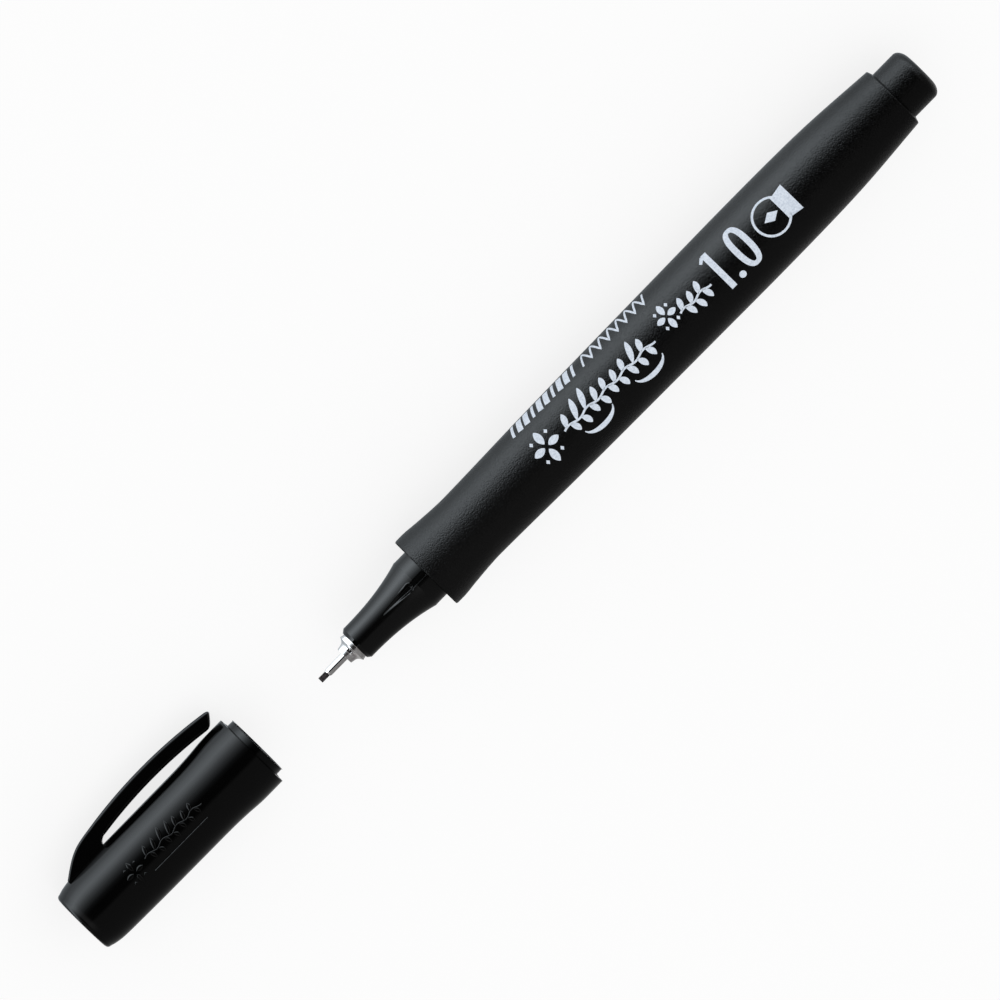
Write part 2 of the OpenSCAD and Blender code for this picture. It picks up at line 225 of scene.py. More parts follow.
class Finish:
    """A material and short calls for the textures that it is made of. Sizes are in mm."""

    def __init__(self, name, colour, roughness, **sockets):
        self.material = bpy.data.materials.new(name)
        self.material.use_nodes = True
        self.tree = self.material.node_tree
        self.shader = self.tree.nodes["Principled BSDF"]
        self.shader.inputs["Base Color"].default_value = (*colour, 1)
        self.shader.inputs["Roughness"].default_value = roughness
        for socket, value in sockets.items():
            self.shader.inputs[socket.replace("_", " ")].default_value = value
        self.normal = None

    def link(self, start, end):
        self.tree.links.new(start, end)

    def noise(self, size, detail=2.0, roughness=0.5, stretch=(1, 1, 1), warp=0.0):
        """Noise with spots of about that size, stretched along the axes."""
        place = self.tree.nodes.new("ShaderNodeTexCoord").outputs["Object"]
        mapping = self.tree.nodes.new("ShaderNodeMapping")
        mapping.inputs["Scale"].default_value = [1 / (size * MM * s) for s in stretch]
        texture = self.tree.nodes.new("ShaderNodeTexNoise")
        texture.inputs["Scale"].default_value = 1
        texture.inputs["Detail"].default_value = detail
        texture.inputs["Roughness"].default_value = roughness
        texture.inputs["Distortion"].default_value = warp
        self.link(place, mapping.inputs["Vector"])
        self.link(mapping.outputs[0], texture.inputs["Vector"])
        return texture.outputs["Fac"]

    def along_pen(self):
        """Place along the pen, in metres."""
        parts = self.tree.nodes.new("ShaderNodeSeparateXYZ")
        place = self.tree.nodes.new("ShaderNodeTexCoord").outputs["Object"]
        self.link(place, parts.inputs[0])
        return parts.outputs["X"]

    def spread(self, value, low, high, new_low=0.0, new_high=1.0):
        """The stretch from low to high of a value, spread over a new range."""
        node = self.tree.nodes.new("ShaderNodeMapRange")
        limits = (low, high, new_low, new_high)
        for socket, limit in zip(("From Min", "From Max", "To Min", "To Max"), limits):
            node.inputs[socket].default_value = limit
        self.link(value, node.inputs["Value"])
        return node.outputs[0]

    def times(self, a, b):
        node = self.tree.nodes.new("ShaderNodeMath")
        node.operation = "MULTIPLY"
        self.link(a, node.inputs[0])
        self.link(b, node.inputs[1])
        return node.outputs[0]

    def bump(self, height, depth):
        """Raises the surface by a height from 0 to 1, times a depth in mm."""
        node = self.tree.nodes.new("ShaderNodeBump")
        node.inputs["Distance"].default_value = depth * MM
        self.link(height, node.inputs["Height"])
        if self.normal:
            self.link(self.normal, node.inputs["Normal"])
        self.normal = node.outputs[0]
        self.link(self.normal, self.shader.inputs["Normal"])

    def shade(self, value, dark, light):
        """Colours the surface between two colours by a value from 0 to 1."""
        mix = self.tree.nodes.new("ShaderNodeMix")
        mix.data_type = "RGBA"
        mix.inputs["A"].default_value = (*dark, 1)
        mix.inputs["B"].default_value = (*light, 1)
        self.link(value, mix.inputs["Factor"])
        self.link(mix.outputs["Result"], self.shader.inputs["Base Color"])

    def roughen(self, value, low, high):
        self.link(self.spread(value, 0.3, 0.7, low, high), self.shader.inputs["Roughness"])


def soft_touch():
    """Matte lacquer over a fine spark-eroded texture, smoother towards the rear and duller
    at the tail."""
    finish = Finish("soft_touch_black", (0.0008, 0.0008, 0.0008), 0.3, Specular_IOR_Level=0.265)
    mottle = finish.noise(0.24, detail=1, roughness=0.5)
    grain = finish.noise(0.13, detail=1, roughness=0.5)
    tint = finish.spread(mottle, 0.35, 0.65)
    finish.shade(tint, (0.0005, 0.0005, 0.0005), (0.0012, 0.0012, 0.0012))
    worn = finish.spread(finish.along_pen(), BARREL_REAR * MM, BARREL_FRONT * MM, 0.17, 0.34)
    finish.link(worn, finish.shader.inputs["Roughness"])
    sheen = finish.spread(finish.along_pen(), 0.01, 0.024, 0.21, 0.26)
    finish.link(sheen, finish.shader.inputs["Specular IOR Level"])
    finish.bump(mottle, 0.075)
    finish.bump(grain, 0.035)
    return finish.material


def gloss_black():
    """Polished moulding, a touch uneven, with a few hair scratches along the pen."""
    finish = Finish("gloss_black", (0.0009, 0.0009, 0.0009), 0.1, Specular_IOR_Level=0.216)
    swell = finish.noise(7, detail=1, stretch=(2.5, 1, 1))
    haze = finish.noise(1.6, detail=4, roughness=0.6)
    scratch = finish.noise(0.09, detail=1, stretch=(90, 1, 1), warp=0.3)
    finish.roughen(haze, 0.08, 0.13)
    finish.bump(swell, 0.02)
    finish.bump(finish.spread(scratch, 0.62, 0.72), 0.0006)
    return finish.material


def satin_black():
    """Moulding with a satin surface, smoother along the pen than across it."""
    finish = Finish("satin_black", (0.0012, 0.0012, 0.0012), 0.17, Specular_IOR_Level=0.3)
    haze = finish.noise(0.7, detail=4, roughness=0.6)
    drawn = finish.noise(0.12, detail=2, stretch=(14, 1, 1))
    finish.roughen(haze, 0.14, 0.2)
    finish.bump(drawn, 0.002)
    return finish.material


def bright_metal():
    """Nickel plate with fine turning marks round the axis and darker stains."""
    finish = Finish("bright_metal", (0.9, 0.89, 0.88), 0.13, Metallic=1.0)
    rings = finish.noise(0.05, detail=3, stretch=(1, 40, 40))
    stain = finish.noise(0.5, detail=5, roughness=0.65)
    finish.shade(finish.spread(stain, 0.42, 0.7), (0.98, 0.97, 0.96), (0.74, 0.68, 0.68))
    finish.roughen(stain, 0.1, 0.22)
    finish.bump(rings, 0.001)
    return finish.material


def drawn_metal():
    """The same plate on a drawn tube, whose marks run along the axis."""
    finish = Finish("drawn_metal", (0.9, 0.89, 0.88), 0.15, Metallic=1.0)
    streaks = finish.noise(0.06, detail=3, stretch=(30, 1, 1))
    stain = finish.noise(0.35, detail=5, roughness=0.65)
    finish.shade(finish.spread(stain, 0.45, 0.72), (0.98, 0.97, 0.96), (0.7, 0.64, 0.64))
    finish.roughen(stain, 0.06, 0.16)
    finish.bump(streaks, 0.0014)
    return finish.material


def nib_fibre():
    """Ink-soaked fibre: fine ridges along the nib and a faint brown cast."""
    finish = Finish("nib_fibre", (0.012, 0.009, 0.01), 0.5, Specular_IOR_Level=0.4)
    threads = finish.noise(0.05, detail=2, stretch=(12, 1, 1))
    patches = finish.noise(0.25, detail=3)
    finish.shade(finish.spread(patches, 0.35, 0.7), (0.008, 0.006, 0.007), (0.03, 0.022, 0.023))
    finish.roughen(patches, 0.4, 0.6)
    finish.bump(threads, 0.008)
    return finish.material


def fibre(name, dark, light):
    """Bundled fibres that run along the pen."""
    finish = Finish(name, dark, 0.8, Sheen_Weight=0.3)
    threads = finish.noise(0.12, detail=3, stretch=(25, 1, 1))
    clumps = finish.noise(1.2, detail=3, stretch=(4, 1, 1))
    finish.shade(finish.times(threads, clumps), dark, light)
    finish.bump(threads, 0.03)
    return finish.material


def clear_film():
    """Thin clear wrapping with shallow wrinkles."""
    finish = Finish("clear_film", (0.8, 0.82, 0.84), 0.15, Transmission_Weight=0.75, IOR=1.45)
    wrinkles = finish.noise(1.5, detail=3, stretch=(6, 1, 1), warp=0.6)
    finish.roughen(wrinkles, 0.1, 0.25)
    finish.bump(wrinkles, 0.03)
    return finish.material


def pale_print():
    """Pad-printed ink, cool white, thinner here and there over the texture."""
    finish = Finish("pale_print", (0.62, 0.68, 0.76), 0.55, Specular_IOR_Level=0.3)
    cover = finish.noise(0.3, detail=4, roughness=0.65)
    grain = finish.noise(0.2, detail=2, roughness=0.7)
    finish.shade(finish.spread(cover, 0.32, 0.6), (0.47, 0.53, 0.62), (0.66, 0.72, 0.8))
    finish.roughen(cover, 0.5, 0.65)
    finish.bump(grain, 0.01)
    return finish.material


# ---- Shapes ------------------------------------------------------------------------


def at(x, turn, r):
    """Point at x along the pen, at a turn about its axis and a distance from it."""
    angle = math.radians(turn)
    return Vector((x, 0, 0)) + r * (math.cos(angle) * FACING + math.sin(angle) * CLIP_SIDE)


def smooth(stations, steps=10):
    """Smooth line through stations of (place, radius), as in the design."""

    def slope(i):
        (x0, y0), (x1, y1) = stations[max(i - 1, 0)], stations[min(i + 1, last)]
        return (y1 - y0) / (x1 - x0)

    last = len(stations) - 1
    line = []
    for i in range(last):
        (x0, y0), (x1, y1) = stations[i], stations[i + 1]
        run, rise = x1 - x0, y1 - y0
        start, end = slope(i) * run, slope(i + 1) * run
        for k in range(steps):
            t = k / steps
            curve = (3 * rise - 2 * start - end) * t**2 + (start + end - 2 * rise) * t**3
            line.append((x0 + run * t, y0 + start * t + curve))
    return line + [stations[last]]


def height_on(line, place):
    """Height of a line of (place, height) points at a place."""
    for (x0, y0), (x1, y1) in zip(line, line[1:]):
        if x0 <= place <= x1:
            return y0 + (y1 - y0) * (place - x0) / (x1 - x0)
    return line[0][1] if place < line[0][0] else line[-1][1]


def rounded(corners, closed=False, steps=7):
    """Line through corners of (place, height, radius), with an arc at each corner."""
    line, count = [], len(corners)
    for i, (x, y, radius) in enumerate(corners):
        here = Vector((x, y))
        if radius == 0 or (not closed and i in (0, count - 1)):
            line.append((x, y))
            continue
        back = (Vector(corners[i - 1][:2]) - here).normalized()
        on = (Vector(corners[(i + 1) % count][:2]) - here).normalized()
        half = back.angle(on) / 2
        centre = here + (back + on).normalized() * radius / math.sin(half)
        spoke = here + back * radius / math.tan(half) - centre
        sweep = math.pi - 2 * half
        if spoke.x * on.y - spoke.y * on.x < 0:
            sweep = -sweep
        for k in range(steps + 1):
            point = centre + Matrix.Rotation(sweep * k / steps, 2) @ spoke
            line.append((point.x, point.y))
    return line


def finer(line, low, high, step):
    """The same line with a point at least every step between two places."""
    out = [line[0]]
    for (x0, y0), (x1, y1) in zip(line, line[1:]):
        parts = 1
        if min(x0, x1) >= low and max(x0, x1) <= high:
            parts = max(1, math.ceil(math.hypot(x1 - x0, y1 - y0) / step))
        for k in range(1, parts + 1):
            out.append((x0 + (x1 - x0) * k / parts, y0 + (y1 - y0) * k / parts))
    return out


def skin(rings, looped=False):
    """Points and faces over a row of rings. A ring of one point closes an end."""
    points, faces, starts = [], [], []
    for ring in rings:
        starts.append(len(points))
        points.extend(ring)
    rows = list(range(len(rings) - 1)) + ([len(rings) - 1] if looped else [])
    for i in rows:
        j = (i + 1) % len(rings)
        count = max(len(rings[i]), len(rings[j]))
        for k in range(count):
            m = (k + 1) % count
            face = []
            for row, ks in ((i, (k, m)), (j, (m, k))):
                steps = ks if len(rings[row]) > 1 else (0,)
                face += [starts[row] + step for step in steps]
            faces.append(face)
    return points, faces


def with_ends(rings):
    """The same rings, with their two ends closed by a point in the middle."""
    first, last = ([sum(ring, Vector((0, 0, 0))) / len(ring)] for ring in (rings[0], rings[-1]))
    return [first, *rings, last]


def piece(name, shapes, finish, body, nodes=(), sharp=35):
    """One piece of the object from its skins, in millimetres, riding on a body."""
    mesh = bpy.data.meshes.new(name)
    points, faces = [], []
    for more_points, more_faces in shapes:
        faces += [[k + len(points) for k in face] for face in more_faces]
        points += more_points
    mesh.from_pydata([p * MM for p in points], [], faces)
    bm = bmesh.new()
    bm.from_mesh(mesh)
    bmesh.ops.recalc_face_normals(bm, faces=bm.faces)
    bm.to_mesh(mesh)
    bm.free()
    mesh.shade_smooth()
    mesh.set_sharp_from_angle(angle=math.radians(sharp))
    mesh.materials.append(finish)
    made = bpy.data.objects.new(name, mesh)
    bpy.context.scene.collection.objects.link(made)
    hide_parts(*nodes)
    if isinstance(body, str):
        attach(made, body)
    return made


def turned(line, looped=False, turns=None, change=None):
    """Skin turned about the pen's axis from a line of (x, radius) points."""
    turns = turns or [360 * k / AROUND for k in range(AROUND)]
    rings = []
    for x, r in line:
        if r < 1e-6:
            rings.append([Vector((x, 0, 0))])
            continue
        rings.append([at(*(change(x, turn, r) if change else (x, turn, r))) for turn in turns])
    return skin(rings, looped)


# ---- Barrel and tail ---------------------------------------------------------------

GRIP_R = 5.98
BARREL_FRONT_R = 6.52
BARREL_REAR_R = 5.45
GROOVE_R, GROOVE_DEPTH = 5.58, 1.75  # the groove that takes the cap's lip
FRONT_BORE_R, MIDDLE_BORE_R, REAR_BORE_R = 5.0, 4.7, 4.2
REAR_BORE_LEN = 9
PLUG_X = BARREL_FRONT - GROOVE_DEPTH

# Outline of the barrel, with its places given from its front edge
BARREL_LINE = smooth([
    (0.2, BARREL_FRONT_R), (2, BARREL_FRONT_R - 0.01), (4.5, BELLY_R - 0.32),
    (8.6, GRIP_R + 0.01), (11.5, GRIP_R), (26, GRIP_R + 0.26), (41, BELLY_R - 0.19),
    (56, BELLY_R - 0.08), (70, BELLY_R), (82, BELLY_R - 0.1), (89, BELLY_R - 0.37),
    (BARREL_LEN - 0.55, BARREL_REAR_R),
])


def add_barrel(finish):
    front = [(0, GROOVE_R, 0.12), (0, BARREL_FRONT_R, 0.06)]
    rear = [
        (BARREL_LEN - 0.3, BARREL_REAR_R - 0.02, 0.22), (BARREL_LEN, STUB_R + 0.06, 0.1),
        (BARREL_LEN, REAR_BORE_R, 0),
    ]
    bores = [
        (BARREL_LEN - REAR_BORE_LEN, REAR_BORE_R, 0),
        (BARREL_LEN - REAR_BORE_LEN, MIDDLE_BORE_R, 0),
        (BARREL_FRONT - SECTION_REAR, MIDDLE_BORE_R, 0),
        (BARREL_FRONT - SECTION_REAR, FRONT_BORE_R, 0), (GROOVE_DEPTH, FRONT_BORE_R, 0),
        (GROOVE_DEPTH, GROOVE_R, 0),
    ]
    side = [(x, r, 0) for x, r in BARREL_LINE]
    line = rounded(front + side + rear + bores, closed=True)
    line = [(BARREL_FRONT - x, r) for x, r in line]
    piece("marker_barrel", [turned(line, looped=True)], finish, "pen",
          ["barrel"])


def add_tail_plug(finish):
    end_round = []
    for k in range(16):
        angle = math.radians(6 * k)
        end_round.append((1.4 * (1 - math.sin(angle)), STUB_R - 2.1 * (1 - math.cos(angle))))
    end_round.reverse()
    spigot_r = REAR_BORE_R - 0.02
    hollow_r, end_wall = 3.2, 2
    line = [(0, 0.0), (0, 1.2)] + end_round + [
        (BARREL_REAR, STUB_R), (BARREL_REAR, spigot_r), (PLUG_FRONT - 0.4, spigot_r),
        (PLUG_FRONT - 0.4, hollow_r), (end_wall, hollow_r), (end_wall, 0.0)]
    piece("marker_tail_plug", [turned(line)], finish, "pen", ["tail_plug"])


# ---- Section -----------------------------------------------------------------------

COLLAR_R = 4.43
RIDGE_R = COLLAR_R + 0.04
COLLAR_FRONT = BARREL_FRONT + 2.2
RIDGE_X = COLLAR_FRONT + 0.05
RIM_CHAMFER = 0.56
CONE_X = RIM_X - RIM_CHAMFER
CONE_R = 2.98
RIM_R = CONE_R - 0.45
GROOVE_BACK = RIDGE_X + 0.35  # where the vent groove starts
VENT_HALF_W = 0.7
VENT_LEN = 6.3
VENT_TIP_HALF_W = 0.22
VENT_FLOOR_H = 3.68  # height of the groove's floor where the groove starts
VENT_SLOPE = math.tan(math.radians(5))
BEAD_H, BEAD_HALF_W, BEAD_LEN = 0.05, 0.13, 3
VENT_TURN = 3  # the grooves lie a little off the clip's plane
RIDGE_NOTCH_HALF_W, RIDGE_NOTCH_DEPTH = 0.45, 0.28
RIM_NOTCH_HALF_W = 0.475
SKIRT_BORE_R = 2.02


def cone_radius(x):
    """Radius of the nose cone, which widens by a power of the distance from its rim."""
    return CONE_R + (RIDGE_R - CONE_R) * ((CONE_X - x) / (CONE_X - RIDGE_X)) ** 2.35


def ease(value, low, high):
    """0 below low, 1 above high, and smooth between them."""
    t = min(max((value - low) / (high - low), 0), 1)
    return t * t * (3 - 2 * t)


def sunk(turn, r, side, floor_h, share):
    """Moves a point of a turned surface straight down towards a floor."""
    angle = math.radians(turn - side)
    across, up = r * math.sin(angle), r * math.cos(angle)
    if up <= floor_h:
        return turn, r
    up += (floor_h - up) * share
    return side + math.degrees(math.atan2(across, up)), math.hypot(across, up)


def vented(x, turn, r):
    """Sinks two vent grooves with a low bead round them, the notches through the ridge and
    those in the rim."""
    if r < SKIRT_BORE_R + 0.05:
        return x, turn, r
    side = VENT_TURN + (0 if math.cos(math.radians(turn - VENT_TURN)) > 0 else 180)
    across = abs(r * math.sin(math.radians(turn - side)))
    along = x - GROOVE_BACK
    if along > -0.3:
        inside = VENT_HALF_W - math.hypot(along - VENT_HALF_W, across)
        if along > VENT_HALF_W:
            run = (along - VENT_HALF_W) / (VENT_LEN - VENT_HALF_W)
            inside = VENT_HALF_W + (VENT_TIP_HALF_W - VENT_HALF_W) * run - across
        if along < VENT_LEN:
            floor_h = VENT_FLOOR_H - VENT_SLOPE * along
            bead = BEAD_H * max(0, 1 - ((inside - 0.02) / BEAD_HALF_W) ** 2)
            turn, r = sunk(turn, r, side, floor_h, ease(inside, 0, 0.42))
            r += bead * ease(BEAD_LEN - along, 0, 1.6)
    if COLLAR_FRONT - 0.2 < x < GROOVE_BACK + 0.5:
        share = ease(RIDGE_NOTCH_HALF_W - across, -0.03, 0.05)
        share *= ease(x, COLLAR_FRONT - 0.2, COLLAR_FRONT - 0.1)
        turn, r = sunk(turn, r, side, COLLAR_R - RIDGE_NOTCH_DEPTH, share)
    if x > CONE_X - 0.03:
        share = ease(RIM_NOTCH_HALF_W - across, -0.03, 0.05)
        turn, r = sunk(turn, r, side, SKIRT_BORE_R + 0.05, share)
    return x, turn, r


def add_section(finish):
    hollow_r, rod_bore_r, seat_x, hollow_x = 3.9, 1.25, RIM_X - 6.2, SECTION_REAR + 11
    press_r = FRONT_BORE_R - 0.02
    cone = [CONE_X + (RIDGE_X + 0.15 - CONE_X) * k / 24 for k in range(24, 0, -1)]
    outside = [
        (SECTION_REAR, hollow_r, 0), (SECTION_REAR, 4.6, 0), (SECTION_REAR + 0.4, press_r, 0),
        (PLUG_X, press_r, 0), (PLUG_X, COLLAR_R, 0.05), (COLLAR_FRONT - 0.05, COLLAR_R, 0.03),
        (RIDGE_X, RIDGE_R, 0.03), *[(x, cone_radius(x), 0) for x in cone],
        (CONE_X, CONE_R, 0.1), (RIM_X, RIM_R, 0.08), (RIM_X, SKIRT_BORE_R, 0),
    ]
    bores = [
        (seat_x, SKIRT_BORE_R, 0), (seat_x, rod_bore_r, 0), (hollow_x, rod_bore_r, 0),
        (hollow_x, hollow_r, 0),
    ]
    line = rounded(outside + bores, closed=True)
    line = finer(line, COLLAR_FRONT - 0.8, COLLAR_FRONT + 2.4, 0.07)
    line = finer(line, COLLAR_FRONT + 2.3, COLLAR_FRONT + 7, 0.16)
    line = finer(line, CONE_X - 0.1, RIM_X, 0.06)
    fine = [side + VENT_TURN + 0.75 * k for side in (0, 180) for k in range(-20, 21)]
    coarse = [side + VENT_TURN + 15 + 3.75 * k for side in (0, 180) for k in range(1, 40)]
    turns = sorted(turn % 360 for turn in fine + coarse)
    piece("marker_section", [turned(line, True, turns, vented)], finish, "pen",
          ["section"])


# ---- Ferrule, tube and nib ---------------------------------------------------------

FLANGE_FRONT = RIM_X + 0.68
STEP_R = 1.42  # at the step's front
STEP_VENT_HALF_W = 0.37
TUBE_R = 0.69
TUBE_BORE_R = 0.53
EDGE_SHARE = 0.935  # distance of the flats on the tube's edges, as a share of its radius


def stepped(x, turn, r):
    """Sinks the two air vents at the foot of the ferrule's step."""
    if r < 1.25 or x < FLANGE_FRONT + 0.25:
        return x, turn, r
    side = 0 if math.cos(math.radians(turn)) > 0 else 180
    across = abs(r * math.sin(math.radians(turn - side)))
    share = ease(STEP_VENT_HALF_W - across, -0.02, 0.02)
    share *= ease(x - FLANGE_FRONT, 0.3, 0.34) * ease(FLANGE_FRONT + 0.78 - x, 0, 0.04)
    return (x, *sunk(turn, r, side, STEP_R - 0.15, share))


def octagonal(x, turn, r):
    """Eight rolled flats, with a narrow one on each edge between them."""
    if r < TUBE_BORE_R + 0.02:
        return x, turn, r
    half = 22.5  # half the turn of a flat
    flat = math.cos(math.radians(half)) / math.cos(math.radians(turn % 45 - half))
    edge = EDGE_SHARE / math.cos(math.radians((turn + half) % 45 - half))
    return x, turn, r * min(flat, edge)


def add_ferrule(finish):
    skirt_r, skirt_bore_r, tube_bore_r = SKIRT_BORE_R - 0.02, 1.2, TUBE_R + 0.01
    # Distance in front of the flange, and height above the step's front
    flare = smooth([
        (0.03, 0.92), (0.16, 0.68), (0.34, 0.42), (0.52, 0.26), (0.75, 0.15), (1.1, 0.08),
        (1.4, 0.02)])
    line = rounded([
        (SKIRT_X, skirt_bore_r, 0), (SKIRT_X, skirt_r, 0), (RIM_X, skirt_r, 0),
        (RIM_X, FLANGE_R, 0.07), (FLANGE_FRONT, FLANGE_R, 0.07),
        *[(FLANGE_FRONT + x, STEP_R + r, 0) for x, r in flare], (STEP_FRONT, STEP_R, 0.08),
        (STEP_FRONT, tube_bore_r + 0.04, 0.05), (STEP_FRONT - 0.3, tube_bore_r, 0),
        (TUBE_REAR, tube_bore_r, 0), (TUBE_REAR, skirt_bore_r, 0),
    ], closed=True)
    line = finer(line, FLANGE_FRONT + 0.2, FLANGE_FRONT + 0.9, 0.04)
    fine = [side + 1.2 * k for side in (0, 180) for k in range(-18, 19)]
    coarse = [side + 21.6 + 3.6 * k for side in (0, 180) for k in range(1, 38)]
    turns = sorted(turn % 360 for turn in fine + coarse)
    piece("marker_ferrule", [turned(line, True, turns, stepped)], finish, "pen",
          ["ferrule"])


def add_nib_tube(finish):
    line = rounded([
        (TUBE_REAR, TUBE_BORE_R, 0), (TUBE_REAR, TUBE_R, 0), (TUBE_FRONT - 0.32, TUBE_R, 0.2),
        (TUBE_FRONT, TUBE_R - 0.12, 0.05), (TUBE_FRONT, TUBE_BORE_R, 0.03),
    ], closed=True)
    piece("marker_nib_tube", [turned(line, True, change=octagonal)], finish,
          "pen", ["nib_tube"])


def rounded_bar(x, half_up, half_across, radius, steps=6):
    """Ring of a bar with round edges, thick towards the print and wide across it."""
    ring = []
    for corner, (above, beside) in enumerate(((1, 1), (-1, 1), (-1, -1), (1, -1))):
        for k in range(steps + 1):
            angle = math.pi / 2 * (corner + k / steps)
            up = above * (half_up - radius) + radius * math.cos(angle)
            across = beside * (half_across - radius) + radius * math.sin(angle)
            ring.append(Vector((x, 0, 0)) + FACING * up + CLIP_SIDE * across)
    return ring


def add_nib(finish):
    half_up, half_across, edge = 0.25, 0.46, 0.07
    rings = [[Vector((TUBE_REAR, 0, 0))], rounded_bar(TUBE_REAR, half_up, half_across, edge)]
    for k in range(0, 31):
        x = TUBE_FRONT - 0.3 + (NIB_TIP - edge - TUBE_FRONT + 0.3) * k / 30
        rings.append(rounded_bar(x, half_up, half_across, edge))
    for k in range(1, 5):
        angle = math.pi / 2 * k / 4
        inset = 0.05 * (1 - math.cos(angle))
        rings.append(rounded_bar(NIB_TIP - edge + edge * math.sin(angle), half_up - inset,
                                 half_across - inset, edge - inset))
    rings.append([Vector((NIB_TIP, 0, 0))])
    piece("marker_nib", [skin(rings)], finish, "pen", ["nib"])


# ---- Cap ---------------------------------------------------------------------------

CAP_R = 6.09
CAP_BORE_R = 4.95
CAP_END_WALL = 1.9
SHOULDER = 7.6  # depth of the step in the cap's bore from its mouth
CLIP_W, CLIP_T = 4.6, 2.42
ARCH_R, ARCH_TOP_AT, CLIP_TOP_R = 81, 22.5, 10.03
ARCH_CENTRE = CLIP_TOP_R - ARCH_R

# Outline of the cap, with its places given from its closed end
CAP_LINE = smooth([
    (0.6, CAP_R - 0.69), (1.5, CAP_R - 0.43), (3, CAP_R - 0.21), (6, CAP_R - 0.12),
    (12, CAP_R - 0.04), (20, CAP_R), (CAP_LEN - 10.2, CAP_R + 0.03),
    (CAP_LEN - 7.2, CAP_R + 0.15), (CAP_LEN - 4.2, CAP_MOUTH_R - 0.01),
    (CAP_LEN - 0.15, CAP_MOUTH_R),
])


def add_cap_shell(finish):
    end_r, edge_r = CAP_R - 0.69, 0.6
    turns = [math.radians(angle) for angle in range(90, 0, -9)]
    edge = [(edge_r * (1 - math.sin(a)), end_r - edge_r * (1 - math.cos(a))) for a in turns]
    line = [(0, 0.0), (0, 2.4), (0, end_r - 0.9)] + edge + CAP_LINE[:-1]
    line += rounded([
        (CAP_LEN - 0.5, CAP_MOUTH_R, 0), (CAP_LEN, CAP_MOUTH_R, 0.12),
        (CAP_LEN, LIP_R + 0.02, 0.04), (CAP_LEN - 0.5, LIP_R + 0.02, 0)])
    line += [
        (CAP_LEN - SHOULDER, LIP_R + 0.02), (CAP_LEN - SHOULDER, CAP_BORE_R),
        (CAP_END_WALL, CAP_BORE_R), (CAP_END_WALL, 0.0)]
    piece("marker_cap_shell", [turned([(CAP_END - x, r) for x, r in line])], finish,
          "cap", ["cap_shell"])


def add_cap_sleeve(finish):
    fit_r, throat_r, chamber_r, body_r = COLLAR_R + 0.1, 3.22, 3.0, 4.6
    line = rounded([
        (LIP_X, fit_r + 0.2, 0.04), (LIP_X, LIP_R, 0.15), (MOUTH_X + SHOULDER, LIP_R, 0),
        (MOUTH_X + SHOULDER, body_r, 0), (SLEEVE_END - 1, body_r, 0),
        (SLEEVE_END, body_r - 1, 0), (SLEEVE_END, 0.0, 0)])
    line = line[::-1]
    line += rounded([
        (LIP_X, fit_r + 0.2, 0), (LIP_X + 0.2, fit_r, 0.1), (MOUTH_X + 2.7, fit_r, 0.3),
        (MOUTH_X + 10, throat_r, 0.3), (MOUTH_X + 16, throat_r, 0),
        (MOUTH_X + 16.3, chamber_r, 0), (MOUTH_X + 24.5, chamber_r, 0),
        (MOUTH_X + 25.3, chamber_r - 0.8, 0), (MOUTH_X + 25.3, 0.0, 0)])
    piece("marker_cap_sleeve", [turned(line)], finish, "cap", ["cap_sleeve"])


def clip_ring(outer, inner, width, edge):
    """Ring of the clip between two points of its side view, (place, height), with round
    edges."""
    outer, inner = Vector(outer), Vector(inner)
    thick = (outer - inner).length
    up = (outer - inner) / thick
    edge = min(edge, thick * 0.45)
    half_t, half_w = thick / 2, width / 2
    steps, risers = 6, 8
    core_t, core_w = half_t - edge, half_w - edge
    quarter = [math.pi / 2 * k / steps for k in range(steps + 1)]
    # From the middle of the outer face down one side
    side = [(core_t + edge * math.cos(a), core_w + edge * math.sin(a)) for a in quarter]
    side += [(core_t - 2 * core_t * k / risers, half_w) for k in range(1, risers)]
    side += [(-core_t - edge * math.sin(a), core_w + edge * math.cos(a)) for a in quarter]
    ring = []
    middle = (outer + inner) / 2
    for mirror, points in ((1, side), (-1, side[::-1])):
        for along, across in points:
            place = middle + up * along
            ring.append(Vector((CAP_END - place.x, 0, 0)) + CLIP_SIDE * place.y
                        + FACING * mirror * across)
    return ring


